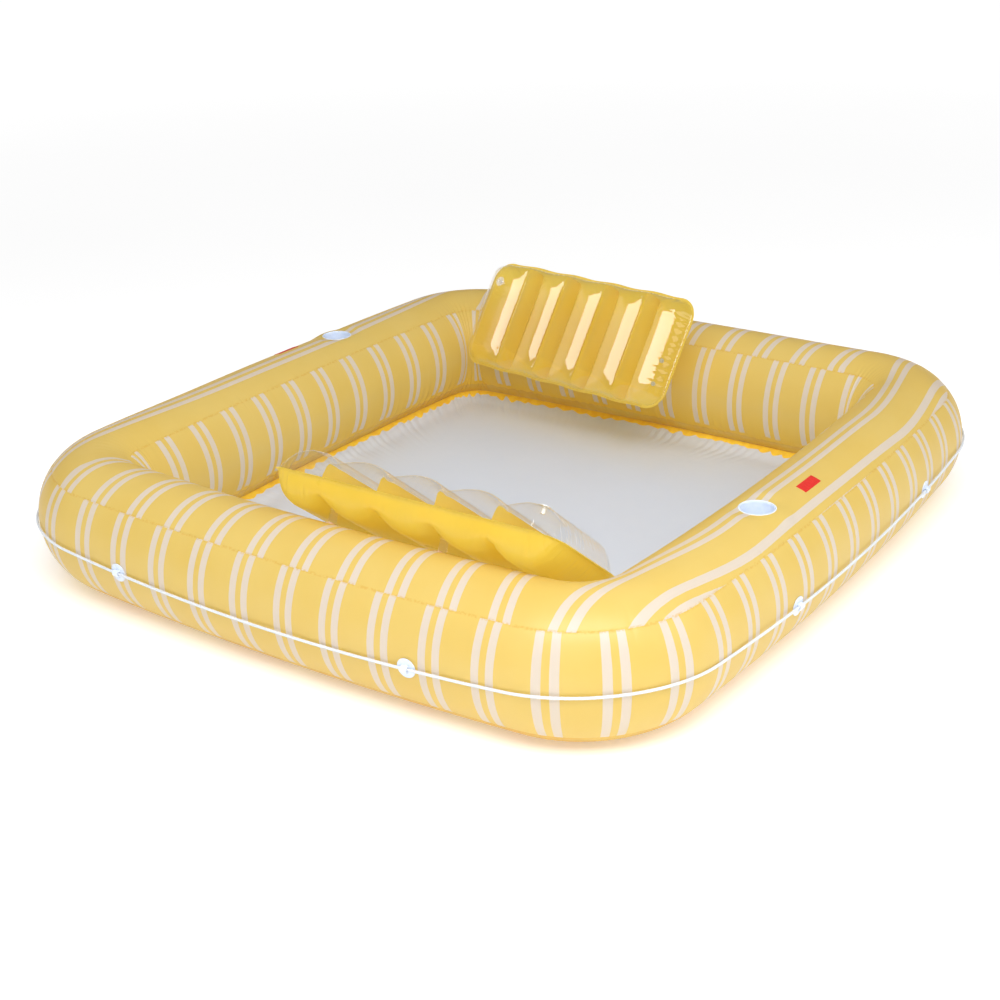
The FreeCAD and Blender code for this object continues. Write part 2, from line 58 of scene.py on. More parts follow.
# ---- the ring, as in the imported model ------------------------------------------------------
SIDE_X, SIDE_Y = 0.8261, 0.8715          # centreline, origin to the middle of each side
CORNER_X, CORNER_Y, CORNER_R = 0.6164, 0.6628, 0.1881
TUBE_W, TUBE_H, TUBE_Z = 0.150, 0.170, 0.166
OUTER_SEAM, INNER_SEAM, WALL_SEAM, FLOOR_SEAM, UNDER_SEAM = 45.8, 127.6, 220.0, 235.0, 314.2
CORNER_LIFT = 0.0112                     # the corners stand a little off the ground
CORNER_SWELL = 0.0103
GROUND_SQUASH = 0.012                    # the tube flattens where it comes this close to the ground
LOOP_STEPS = 2400


def side_radius(middle, along, across):
    rise = middle - across
    return (along ** 2 + rise ** 2 - CORNER_R ** 2) / (2 * (rise - CORNER_R))


BOW_FRONT_R = side_radius(SIDE_Y, CORNER_X, CORNER_Y)
BOW_RIGHT_R = side_radius(SIDE_X, CORNER_Y, CORNER_X)
FRONT_HALF = math.asin(CORNER_X / (BOW_FRONT_R - CORNER_R))
RIGHT_HALF = math.asin(CORNER_Y / (BOW_RIGHT_R - CORNER_R))
QUARTER = 0.5 * math.pi
HALF_LOOP = [
    ((0.0, BOW_FRONT_R - SIDE_Y), BOW_FRONT_R, -QUARTER - FRONT_HALF, -QUARTER + FRONT_HALF),
    ((CORNER_X, -CORNER_Y), CORNER_R, -QUARTER + FRONT_HALF, -RIGHT_HALF),
    ((SIDE_X - BOW_RIGHT_R, 0.0), BOW_RIGHT_R, -RIGHT_HALF, RIGHT_HALF),
    ((CORNER_X, CORNER_Y), CORNER_R, RIGHT_HALF, QUARTER - FRONT_HALF),
]
ARCS = HALF_LOOP + [((-c[0], -c[1]), r, a + math.pi, b + math.pi) for c, r, a, b in HALF_LOOP]


class Loop:
    """Stations round the ring: arc centre, radius, turn, arc number and length along the centreline."""

    def __init__(self, steps):
        lengths = np.array([r * (b - a) for _, r, a, b in ARCS])
        ends = np.cumsum(lengths)
        self.length = ends[-1]
        s = np.arange(steps) * self.length / steps
        self.arc = np.searchsorted(ends, s, side="right")
        local = s - (ends - lengths)[self.arc]
        data = np.array([(c[0], c[1], r, a) for c, r, a, b in ARCS])[self.arc]
        self.centre = data[:, :2]
        self.radius = data[:, 2]
        self.turn = data[:, 3] + local / self.radius
        self.out = np.stack([np.cos(self.turn), np.sin(self.turn)], 1)
        self.s = s
        self.corner = np.isclose(self.radius, CORNER_R)


loop = Loop(LOOP_STEPS)


def smooth_step(value, low, high):
    t = np.clip((value - low) / (high - low), 0, 1)
    return t * t * (3 - 2 * t)


def cornerness(xy):
    return (xy[..., 0] / (SIDE_X + TUBE_W)) ** 2 * (xy[..., 1] / (SIDE_Y + TUBE_W)) ** 2


def skin(centre, out, radius, theta, push=0.0):
    """Points of the ring's skin; theta runs round the section from straight outwards."""
    cos, sin = np.cos(theta), np.sin(theta)
    xy = centre + out * (radius + TUBE_W * cos)[..., None]
    s4 = cornerness(xy)
    scale = 1 + CORNER_SWELL * s4
    normal_out, normal_up = cos / TUBE_W, sin / TUBE_H
    size = np.hypot(normal_out, normal_up)
    across = TUBE_W * cos * scale + push * normal_out / size
    high = TUBE_Z + TUBE_H * sin * scale + push * normal_up / size
    squashed = GROUND_SQUASH * np.exp(np.minimum(high - GROUND_SQUASH, 0) / GROUND_SQUASH)
    high = np.where(high < GROUND_SQUASH, squashed, high)
    high = high + CORNER_LIFT * s4
    xy = centre + out * (radius + across)[..., None]
    return np.concatenate([xy, high[..., None]], -1)


def wave(period, length, seed, count=LOOP_STEPS, spread=0.35):
    """A closed, uneven wave along the ring with about this period, from -1 to 1."""
    draws = np.random.default_rng(seed)
    base = length / period
    s = np.arange(count) / count
    total = np.zeros(count)
    for _ in range(9):
        n = max(1, round(base * (1 + spread * draws.uniform(-1, 1))))
        total += np.cos(2 * math.pi * (n * s + draws.random()))
    return total / 4.0


# ---- mesh building -------------------------------------------------------------------------
def add_mesh(name, points, faces, uvs=(), material=None):
    """points (n, 3), faces (m, 4) or a list; uvs is [(layer name, one (u, v) per face corner)]."""
    mesh = bpy.data.meshes.new(name)
    faces = faces.tolist() if hasattr(faces, "tolist") else faces
    mesh.from_pydata(np.asarray(points, float).tolist(), [], faces)
    for layer_name, values in uvs:
        layer = mesh.uv_layers.new(name=layer_name)
        layer.data.foreach_set("uv", np.asarray(values, np.float32).ravel())
    mesh.validate()
    mesh.shade_smooth()
    obj = bpy.data.objects.new(name, mesh)
    bpy.context.scene.collection.objects.link(obj)
    if material:
        mesh.materials.append(material)
    return obj


def grid_faces(columns, rows, closed):
    """Quads of a columns x rows grid of points, column by column, and each corner's (column, row)."""
    last = columns if closed else columns - 1
    i, j = np.meshgrid(np.arange(last), np.arange(rows - 1), indexing="ij")
    i, j = i.ravel(), j.ravel()
    ci = np.stack([i, i + 1, i + 1, i], 1)
    cj = np.stack([j, j, j + 1, j + 1], 1)
    return (ci % columns) * rows + cj, ci, cj


def thicken(obj, thickness):
    modifier = obj.modifiers.new("thickness", "SOLIDIFY")
    modifier.thickness = thickness
    modifier.offset = -1
    modifier.use_even_offset = False


def finish_piece(obj, body, slot, *nodes):
    if nodes:
        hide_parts(*nodes)
    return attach(obj, body)


def lathe(profile, steps):
    """Points and faces of an (r, z) profile turned about z."""
    turn = np.arange(steps) * 2 * math.pi / steps
    profile = np.array(profile, float)
    radius = profile[None, :, 0] * np.ones((steps, 1))
    points = np.stack([radius * np.cos(turn)[:, None], radius * np.sin(turn)[:, None],
                       np.broadcast_to(profile[None, :, 1], radius.shape)], -1)
    faces, _, _ = grid_faces(steps, len(profile), True)
    return points.reshape(-1, 3), faces.tolist()


def rounded(points, radius=0.0006, steps=3):
    """A profile with its inner corners rounded off."""
    points = [np.array(p, float) for p in points]
    out = [points[0]]
    for before, here, after in zip(points, points[1:], points[2:]):
        a, b = before - here, after - here
        la, lb = np.linalg.norm(a), np.linalg.norm(b)
        cut = min(radius, 0.45 * la, 0.45 * lb)
        p, q = here + a / la * cut, here + b / lb * cut
        for k in range(steps + 1):
            f = k / steps
            out.append((1 - f) ** 2 * p + 2 * f * (1 - f) * here + f ** 2 * q)
    out.append(points[-1])
    return [tuple(p) for p in out]


def merge(parts):
    """Joins (points, faces, matrix) parts into one set of points and faces."""
    points, faces, start = [], [], 0
    for part_points, part_faces, matrix in parts:
        m = np.array(matrix)
        points.append(np.asarray(part_points) @ m[:3, :3].T + m[:3, 3])
        faces += [[int(v) + start for v in face] for face in part_faces]
        start += len(part_points)
    return np.concatenate(points), faces


def auto_smooth(obj, angle=40):
    obj.data.shade_smooth()
    bm = bmesh.new()
    bm.from_mesh(obj.data)
    bmesh.ops.remove_doubles(bm, verts=bm.verts, dist=1e-6)
    limit = math.radians(angle)
    for edge in bm.edges:
        if len(edge.link_faces) == 2 and edge.calc_face_angle(0) > limit:
            edge.smooth = False
    bmesh.ops.recalc_face_normals(bm, faces=bm.faces)
    bm.to_mesh(obj.data)
    bm.free()
    return obj


# ---- materials -----------------------------------------------------------------------------
class Nodes:
    """A small helper to write node trees in few lines."""

    def __init__(self, name, roughness=0.4, **sockets):
        self.material = bpy.data.materials.new(name)
        self.material.use_nodes = True
        self.tree = self.material.node_tree
        self.bsdf = self.tree.nodes["Principled BSDF"]
        self.bsdf.inputs["Roughness"].default_value = roughness
        for key, value in sockets.items():
            self.bsdf.inputs[key.replace("_", " ")].default_value = value

    def add(self, kind, inputs=(), **settings):
        node = self.tree.nodes.new("ShaderNode" + kind)
        for key, value in settings.items():
            setattr(node, key, value)
        for key, value in dict(inputs).items():
            socket = node.inputs[key]
            if hasattr(value, "is_output"):
                self.tree.links.new(value, socket)
            else:
                socket.default_value = value
        return node

    def math(self, operation, a, b=0.0, c=0.0, clamp=False):
        node = self.add("Math", {0: a, 1: b, 2: c}, operation=operation, use_clamp=clamp)
        return node.outputs[0]

    def uv(self, layer):
        node = self.add("SeparateXYZ", {0: self.add("UVMap", uv_map=layer).outputs[0]})
        return node.outputs[0], node.outputs[1]

    def noise(self, scale, detail=3.0, vector=None, roughness=0.5):
        where = vector or self.add("TexCoord").outputs["Object"]
        node = self.add("TexNoise", {"Vector": where, "Scale": scale, "Detail": detail, "Roughness": roughness})
        return node.outputs["Fac"]

    def ramp(self, value, low, high, to_low=0.0, to_high=1.0):
        node = self.add("MapRange", {0: value, 1: low, 2: high, 3: to_low, 4: to_high}, clamp=True)
        return node.outputs[0]

    def mix(self, factor, a, b):
        node = self.add("Mix", data_type="RGBA")
        for index, value in ((0, factor), (6, a), (7, b)):
            socket = node.inputs[index]
            if hasattr(value, "is_output"):
                self.tree.links.new(value, socket)
            else:
                socket.default_value = value
        return node.outputs[2]

    def colour(self, output):
        self.tree.links.new(output, self.bsdf.inputs["Base Color"])

    def thin(self, share, colour):
        """Lets light through, as a thin sheet does."""
        behind = self.add("BsdfTranslucent", {"Color": colour})
        both = self.add("MixShader", {0: share, 1: self.bsdf.outputs[0], 2: behind.outputs[0]})
        self.tree.links.new(both.outputs[0], self.tree.nodes["Material Output"].inputs["Surface"])

    def rough(self, output):
        self.tree.links.new(output, self.bsdf.inputs["Roughness"])

    def bump(self, *layers):
        """Each layer is (height output, strength, distance in metres)."""
        normal = None
        for height, strength, distance in layers:
            inputs = {"Height": height, "Strength": strength, "Distance": distance}
            if normal is not None:
                inputs["Normal"] = normal
            normal = self.add("Bump", inputs).outputs[0]
        self.tree.links.new(normal, self.bsdf.inputs["Normal"])


YELLOW = (0.84, 0.665, 0.205, 1)
YELLOW_DEEP = (0.83, 0.64, 0.175, 1)
YELLOW_WELD = (0.78, 0.50, 0.080, 1)
STRIPE_INK = (0.79, 0.745, 0.69, 1)
FILM_YELLOW = (0.96, 0.735, 0.110, 1)
PITCH = 0.130            # from pair to pair of printed stripes
PAIR_GAP = 0.0345        # between the middles of the two stripes of a pair
STRIPE_W = 0.0187


def vinyl_grain(n, extra=()):
    """Very fine grain, faint creases and a slow unevenness, as on thick pool vinyl."""
    grain = n.noise(1400, 2)
    slow = n.noise(22, 3)
    crease = n.noise(9, 2, roughness=0.3)
    fold = n.math("ABSOLUTE", n.math("SUBTRACT", crease, 0.5))
    fold = n.ramp(fold, 0.0, 0.03, 1.0, 0.0)
    n.bump((slow, 0.12, 0.003), (grain, 0.05, 0.0002), (fold, 0.05, 0.0006), *extra)
    return slow


def striped_vinyl(name="striped_vinyl", foot=None):
    n = Nodes(name, roughness=0.36, IOR=1.52, Coat_Weight=0.12, Coat_Roughness=0.18)
    u, edge = n.uv("print")
    along, across = n.uv("skin")
    slow = n.noise(5, 3)
    wander = n.math("MULTIPLY", n.math("SUBTRACT", n.noise(35, 2), 0.5), 0.0012)
    u = n.math("ADD", u, wander)
    pair = n.math("SUBTRACT", n.math("FRACT", n.math("ADD", n.math("DIVIDE", u, PITCH), 0.5)), 0.5)
    off_pair = n.math("ABSOLUTE", n.math("MULTIPLY", pair, PITCH))
    off_line = n.math("ABSOLUTE", n.math("SUBTRACT", off_pair, 0.5 * PAIR_GAP))
    ink = n.ramp(off_line, 0.5 * STRIPE_W - 0.0004, 0.5 * STRIPE_W + 0.0004, 1.0, 0.0)
    yellow = n.mix(n.ramp(slow, 0.35, 0.65), YELLOW, YELLOW_DEEP)
    if foot:
        # Painted glow: over the last 0.11 m towards the foot the inner wall's yellow turns brighter and more
        # saturated, standing in for light that shines through the tube's film and out at its foot.
        yellow = n.mix(n.ramp(across, foot - 0.11, foot), yellow, (0.93, 0.66, 0.085, 1))
        uneven_across = n.math("ADD", across, n.math("MULTIPLY", n.noise(30, 1), 0.012))
        ink = n.math("MULTIPLY", ink, n.ramp(uneven_across, foot - 0.012, foot - 0.004, 1.0, 0.0))
    printed = n.mix(ink, yellow, STRIPE_INK)
    dash = n.math("MULTIPLY", n.ramp(n.noise(160, 1), 0.42, 0.6), n.ramp(edge, 0.0022, 0.0045, 0.45, 0.0))
    skin_colour = n.mix(dash, printed, YELLOW_WELD)
    n.colour(skin_colour)
    n.thin(0.42, skin_colour)
    n.rough(n.ramp(n.noise(14, 3), 0.3, 0.7, 0.33, 0.41))
    weld = n.math("MULTIPLY", n.math("SINE", n.math("MULTIPLY", along, 2 * math.pi / 0.0035)),
                  n.ramp(edge, 0.002, 0.006, 1.0, 0.0))
    vinyl_grain(n, ((weld, 0.25, 0.0003),))
    return n.material


def yellow_vinyl(name, colour, deep, roughness, thin):
    n = Nodes(name, roughness=roughness, IOR=1.52, Coat_Weight=0.25, Coat_Roughness=0.06)
    slow = n.noise(6, 3)
    skin_colour = n.mix(n.ramp(slow, 0.35, 0.65), colour, deep)
    n.colour(skin_colour)
    n.thin(thin, skin_colour)
    n.rough(n.ramp(n.noise(18, 3), 0.3, 0.7, roughness - 0.03, roughness + 0.05))
    vinyl_grain(n)
    return n.material


def clear_vinyl(name, haze_low, haze_high, tint):
    """Thin clear film: seen through, with a gloss that grows at grazing angles and a faint haze."""
    n = Nodes(name, roughness=0.12, IOR=1.5)
    cloud = n.noise(12, 3)
    n.colour(n.mix(n.ramp(cloud, 0.3, 0.7), tint, (0.98, 0.97, 0.95, 1)))
    vinyl_grain(n)
    facing = n.add("LayerWeight", {"Blend": 0.5}).outputs["Facing"]
    rim = n.math("MULTIPLY", n.math("POWER", facing, 5.0), 0.08)
    gloss = n.add("BsdfGlossy", {"Color": (1, 1, 1, 1), "Roughness": 0.05})
    n.tree.links.new(n.bsdf.inputs["Normal"].links[0].from_socket, gloss.inputs["Normal"])
    clear = n.add("BsdfTransparent", {"Color": (0.995, 0.993, 0.985, 1)})
    haze = n.ramp(cloud, 0.35, 0.7, haze_low, haze_high)
    cover = n.math("ADD", haze, rim, clamp=True)
    body = n.add("MixShader", {0: cover, 1: clear.outputs[0], 2: n.bsdf.outputs[0]})
    mirror = n.math("MULTIPLY_ADD", n.math("POWER", facing, 5.0), 0.80, 0.068)
    film = n.add("MixShader", {0: mirror, 1: body.outputs[0], 2: gloss.outputs[0]})
    n.tree.links.new(film.outputs[0], n.tree.nodes["Material Output"].inputs["Surface"])
    return n.material


def floor_vinyl():
    """Pale sheet, with the yellow border of the ring welded over its scalloped edge."""
    n = Nodes("floor_vinyl", roughness=0.38, IOR=1.5)
    border, _ = n.uv("border")
    slow = n.noise(3, 3)
    sheet = n.mix(n.ramp(slow, 0.35, 0.65), (0.585, 0.63, 0.715, 1), (0.60, 0.645, 0.73, 1))
    yellow = n.mix(n.ramp(n.noise(40, 2), 0.4, 0.6), (0.96, 0.66, 0.06, 1), (0.90, 0.56, 0.05, 1))
    n.colour(n.mix(n.ramp(border, -0.0006, 0.0006), sheet, yellow))
    grain = n.noise(900, 2)
    ripple = n.noise(26, 3)
    n.bump((ripple, 0.16, 0.004), (grain, 0.06, 0.0002))
    n.rough(n.ramp(n.noise(15, 3), 0.3, 0.7, 0.34, 0.44))
    return n.material


def plastic(name, colour, second, roughness, scale=60, **sockets):
    n = Nodes(name, roughness=roughness, **sockets)
    n.colour(n.mix(n.ramp(n.noise(scale, 3), 0.35, 0.65), colour, second))
    n.rough(n.ramp(n.noise(scale * 2, 3), 0.3, 0.7, roughness - 0.04, roughness + 0.06))
    n.bump((n.noise(scale * 0.6, 3), 0.08, 0.0008), (n.noise(2500, 2), 0.06, 0.0001))
    return n.material


def rope_fibre():
    n = Nodes("rope_fibre", roughness=0.72, Sheen_Weight=0.3, Sheen_Roughness=0.5)
    along, around = n.uv("strand")
    twist = n.math("ADD", n.math("MULTIPLY", along, 900.0), n.math("MULTIPLY", around, 6.2832))
    fibre = n.math("SINE", n.math("MULTIPLY", twist, 4.0))
    n.colour(n.mix(n.ramp(fibre, -1, 1), (0.60, 0.65, 0.72, 1), (0.72, 0.75, 0.80, 1)))
    n.bump((fibre, 0.4, 0.0002), (n.noise(3000, 2), 0.2, 0.0002))
    return n.material


MAT_STRIPED = striped_vinyl()
# The inner wall's striped vinyl, with a painted glow at its foot: a brighter yellow there stands in for light
# passing through the tube.
MAT_STRIPED_FOOT_GLOW = striped_vinyl("striped_vinyl_foot_glow", foot=0.262)
MAT_PLAIN = yellow_vinyl("plain_yellow_vinyl", YELLOW_DEEP, (0.81, 0.52, 0.090, 1), 0.34, 0.42)
MAT_FILM = yellow_vinyl("pillow_yellow_vinyl", FILM_YELLOW, (0.95, 0.71, 0.085, 1), 0.30, 0.60)
MAT_CLEAR = clear_vinyl("clear_vinyl", 0.006, 0.022, (0.96, 0.95, 0.92, 1))
MAT_CLEAR_VALVE = clear_vinyl("clear_valve", 0.22, 0.30, (0.95, 0.95, 0.93, 1))
MAT_WHITE_VALVE = clear_vinyl("milky_valve", 0.55, 0.70, (0.97, 0.97, 0.96, 1))
MAT_FLOOR = floor_vinyl()
MAT_MILKY = plastic("milky_vinyl", (0.66, 0.75, 0.90, 1), (0.74, 0.81, 0.93, 1), 0.30, IOR=1.5, Coat_Weight=0.2)
MAT_VALVE = plastic("valve_plastic", (0.78, 0.80, 0.82, 1), (0.72, 0.75, 0.78, 1), 0.42)
MAT_SNAP = plastic("snap_plastic", (0.80, 0.52, 0.34, 1), (0.85, 0.62, 0.45, 1), 0.25, scale=200)
MAT_CLEAR_SNAP = plastic("clear_snap", (0.34, 0.30, 0.17, 1), (0.40, 0.35, 0.21, 1), 0.55, scale=200)
MAT_LABEL = plastic("label_red", (0.66, 0.022, 0.014, 1), (0.60, 0.016, 0.010, 1), 0.45, scale=120)
MAT_ROPE = rope_fibre()

# ---- ring panels ---------------------------------------------------------------------------
SEAM_DIP = 0.0013
RING_LENGTH = loop.length


def arc_spacing(start, stop, coarse, fine=(0.0, 0.0012, 0.003, 0.006, 0.011, 0.018, 0.028)):
    """Section angles from one seam to the next, close together beside the seams."""
    dense = np.radians(np.linspace(start, stop, 2001))
    steps = np.hypot(TUBE_W * np.diff(np.cos(dense)), TUBE_H * np.diff(np.sin(dense)))
    length = np.concatenate([[0], np.cumsum(steps)])
    total = length[-1]
    middle = np.linspace(fine[-1], total - fine[-1], max(3, int((total - 2 * fine[-1]) / coarse)))
    marks = np.unique(np.concatenate([fine, middle, total - np.array(fine)]))
    return np.interp(marks, length, dense), marks, total


def pucker(seed, period):
    """Small gathers along a seam: narrow pinches that come and go."""
    pinch = np.maximum(wave(period, RING_LENGTH, seed), 0) ** 1.5
    gate = 0.35 + 0.65 * np.clip(0.5 + wave(0.23, RING_LENGTH, seed + 1), 0, 1)
    return pinch * gate


def sharp_folds(period, seed, power=1.0):
    """Folds with rounded crests and narrow valleys, about 0 to -1."""
    folds = wave(period, RING_LENGTH, seed, spread=0.25)
    return -np.abs(folds) ** power


IN_CORNER = np.convolve(np.tile(loop.corner.astype(float), 3), np.hanning(121) / np.hanning(121).sum(), "same")
IN_CORNER = np.clip(IN_CORNER[LOOP_STEPS:2 * LOOP_STEPS] * 1.15, 0, 1)[:, None]


def panel(name, start, stop, displace, print_u, material, coarse=0.013):
    """One welded sheet of the ring, from seam to seam, and where its stripes are printed."""
    theta, marks, total = arc_spacing(start, stop, coarse)
    near = np.minimum(marks, total - marks)
    t = theta[None, :] + 0 * loop.s[:, None]
    push = displace(marks, total)
    points = skin(loop.centre[:, None, :], loop.out[:, None, :], loop.radius[:, None], t, push)
    faces, ci, cj = grid_faces(LOOP_STEPS, len(theta), True)
    u = print_u(points, theta)
    gained = u[-1, 0] - u[0, 0]         # a whole number of pairs where the print is counted round the ring
    wrap = np.concatenate([u, u[:1] + (PITCH * round(gained / PITCH) if gained > 1 else 0)])
    along = np.arange(LOOP_STEPS + 1) * RING_LENGTH / LOOP_STEPS
    uvs = [("print", np.stack([wrap[ci, cj], near[cj]], -1)),
           ("skin", np.stack([along[ci], marks[cj]], -1))]
    return add_mesh(name, points.reshape(-1, 3), faces, uvs, material)


GATHERS = {"outer": (0.0008, 0.016, 11), "inner": (0.0012, 0.018, 12), "under": (0.0010, 0.020, 21),
           "foot": (0.0018, 0.028, 32)}     # depth, spacing and seed at each seam
CORNER_FOLDS = 0.0030 * sharp_folds(0.047, 13)[:, None]
FOOT_FOLDS = 0.0042 * sharp_folds(0.060, 33)[:, None]


def seam_shape(marks, total, low, high, reach=0.016):
    """Dip and gathers at a panel's two seams."""
    push = np.zeros((LOOP_STEPS, len(marks)))
    for distance, seam in ((marks, low), (total - marks, high)):
        depth, period, seed = GATHERS[seam]
        push -= SEAM_DIP * np.exp(-distance / 0.004)[None, :]
        fade = np.exp(-distance / reach) * (1 - 0.4 * np.exp(-distance / 0.003))
        push -= depth * pucker(seed, period)[:, None] * fade[None, :]
    return push


def stretch_x(points):
    """The top panel's flat print coordinate: straight stripes along Y, drawn outwards where the sides swell."""
    x, y = np.abs(points[..., 0]), np.abs(points[..., 1])
    swell = np.clip((0.90 - y) / 0.52, 0, 1)
    swell = swell * swell * (3 - 2 * swell)
    right = points[..., 0] > 0
    drawn_right = x - (0.7200 + (x - 0.797) * 1.182)
    drawn_left = x - (0.8225 + (x - 0.8125) * 1.13)
    reach = np.clip((x - 0.56) / 0.16, 0, 1)
    drawn = np.where(right, drawn_right, drawn_left) * swell * reach
    inner = np.clip((0.965 - y) / 0.19, 0, 1) * np.clip((np.where(right, 0.705, 0.73) - x) / 0.04, 0, 1)
    return np.sign(points[..., 0]) * ((x - drawn) / (1 - 0.075 * inner)) - 0.0875


def top_displace(marks, total):
    push = seam_shape(marks, total, "outer", "inner")
    push += CORNER_FOLDS * IN_CORNER * np.exp(-(total - marks) / 0.035)[None, :]
    push += 0.0012 * wave(0.55, RING_LENGTH, 14)[:, None] * np.sin(math.pi * marks / total)[None, :]
    return push


def pair_stations(side_pitch, front_pitch, corner_pairs, lengths):
    """Pairs of stripes counted along the ring, with their own pitch on sides, front and corners."""
    count, marks = 0.0, [0.0]
    for k, length in enumerate(lengths):
        pairs = length / front_pitch if k % 4 == 0 else length / side_pitch if k % 4 == 2 else corner_pairs
        count += pairs
        marks.append(count)
    whole = round(marks[-1])
    return np.array(marks) * whole / marks[-1], np.concatenate([[0], np.cumsum(lengths)])


def wall_print(seam, side_pitch, front_pitch, corner_pairs, phase_at):
    """The print coordinate of a wall: pairs counted along the ring, one of them at length phase_at."""
    angle = math.radians(seam)
    lengths = np.array([(r + TUBE_W * math.cos(angle)) * (b - a) for _, r, a, b in ARCS])
    marks, ends = pair_stations(side_pitch, front_pitch, corner_pairs, lengths)
    share = (loop.radius + TUBE_W * math.cos(angle)) / loop.radius
    own = np.array([r * (b - a) for _, r, a, b in ARCS])
    starts = np.concatenate([[0], np.cumsum(own)])[:-1]
    s = (loop.s - starts[loop.arc]) * share + ends[loop.arc]
    pairs = np.interp(s, ends, marks)
    pairs = pairs - np.interp(phase_at, ends, marks)

    def value(points, theta):
        return (pairs * PITCH)[:, None] + 0 * theta[None, :]

    return value


def outer_displace(marks, total):
    push = seam_shape(marks, total, "under", "outer")
    push += 0.0014 * wave(0.40, RING_LENGTH, 23)[:, None] * np.sin(math.pi * marks / total)[None, :]
    return push


def inner_displace(marks, total):
    push = seam_shape(marks, total, "inner", "foot")
    push += FOOT_FOLDS * np.exp(-(total - marks) / 0.045)[None, :]
    push += CORNER_FOLDS * IN_CORNER * np.exp(-marks / 0.060)[None, :]
    push += 0.0022 * sharp_folds(0.060, 34)[:, None] * IN_CORNER * np.sin(math.pi * marks / total)[None, :]
    push += 0.0012 * wave(0.30, RING_LENGTH, 35)[:, None] * np.sin(math.pi * marks / total)[None, :]
    return push


def bottom_displace(marks, total):
    push = seam_shape(marks, total, "foot", "under")
    push += FOOT_FOLDS * np.exp(-marks / 0.050)[None, :]
    return push


def top_print(points, theta):
    return stretch_x(points)


def no_print(points, theta):
    """Half way between two pairs all over, where nothing is printed."""
    return points[..., 0] * 0 + 0.5 * PITCH


top_panel = panel("ring_skin_top", OUTER_SEAM, INNER_SEAM, top_displace, top_print, MAT_STRIPED)
outer_wall = panel("ring_skin_outer", UNDER_SEAM - 360, OUTER_SEAM, outer_displace,
                   wall_print(OUTER_SEAM, 0.1225, 0.1295, 3.35, 0.183), MAT_STRIPED)
inner_wall = panel("ring_skin_inner", INNER_SEAM, WALL_SEAM, inner_displace,
                   wall_print(INNER_SEAM, 0.1265, 0.118, 1.46, 5.0025), MAT_STRIPED_FOOT_GLOW)
bottom_panel = panel("ring_skin_bottom", WALL_SEAM, UNDER_SEAM, bottom_displace, no_print, MAT_PLAIN, 0.014)

# ---- cup wells: the top panel is drawn down to each rim --------------------------------------
CUP_R, CUP_RIM_R = 0.039, 0.044
CUP_DRAW = 0.045                         # how far from the rim the panel is drawn down


def punch(obj, axis, rim_z):
    """Draws the panel down to the rim and opens it inside the rim."""
    bm = bmesh.new()
    bm.from_mesh(obj.data)
    inside = set()
    for vert in bm.verts:
        away = Vector((vert.co.x - axis[0], vert.co.y - axis[1]))
        distance = away.length
        if distance < CUP_RIM_R + CUP_DRAW:
            pull = min(1.0, max(0.0, 1 - (distance - CUP_RIM_R + 0.004) / CUP_DRAW))
            pull = pull * pull * (3 - 2 * pull)
            vert.co.z += (rim_z - vert.co.z) * pull
        if distance < CUP_R + 0.001:
            inside.add(vert)
    doomed = [face for face in bm.faces if all(v in inside for v in face.verts)]
    rim = {v for face in bm.faces if face not in set(doomed) for v in face.verts if v in inside}
    for vert in rim:
        away = Vector((vert.co.x - axis[0], vert.co.y - axis[1]))
        away.normalize()
        vert.co.x = axis[0] + away.x * (CUP_R + 0.001)
        vert.co.y = axis[1] + away.y * (CUP_R + 0.001)
    bmesh.ops.delete(bm, geom=doomed, context="FACES")
    bm.to_mesh(obj.data)
    bm.free()


for side in ("right", "left"):
    low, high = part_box("cup_well_" + side)
    axis = (0.5 * (low.x + high.x), 0.5 * (low.y + high.y))
    punch(top_panel, axis, high.z - 0.0012)
    depth = high.z - low.z
    profile = rounded([(0.0, -depth + 0.0016), (0.020, -depth + 0.0016), (0.022, -depth + 0.0036),
                       (0.0245, -depth + 0.0016), (CUP_R - 0.005, -depth + 0.0022),
                       (CUP_R - 0.0012, -depth + 0.012),
                       (CUP_R - 0.0002, -0.004), (CUP_R + 0.0008, -0.0008), (CUP_RIM_R - 0.002, 0.0),
                       (CUP_RIM_R, -0.0014), (CUP_R + 0.0018, -0.0024), (CUP_R + 0.0008, -0.012),
                       (CUP_R - 0.0002, -depth + 0.010), (CUP_R - 0.005, -depth), (0.0, -depth)], 0.0025, 4)
    points, faces = lathe(profile, 96)
    well = add_mesh("cup_" + side, points + np.array([axis[0], axis[1], high.z]), faces, material=MAT_MILKY)
    auto_smooth(well, 60)
    finish_piece(well, "ring", "milky_vinyl", "cup_well_" + side)

for piece, node in ((top_panel, "ring_top_panel"), (outer_wall, "ring_outer_wall"),
                    (inner_wall, "ring_inner_wall"), (bottom_panel, "ring_bottom_panel")):
    finish_piece(piece, "ring", "striped_vinyl", node)

# ---- floor sheet -----------------------------------------------------------------------------
FLOOR_STEPS = 1200
FLOOR_RINGS = 44
floor_loop = Loop(FLOOR_STEPS)


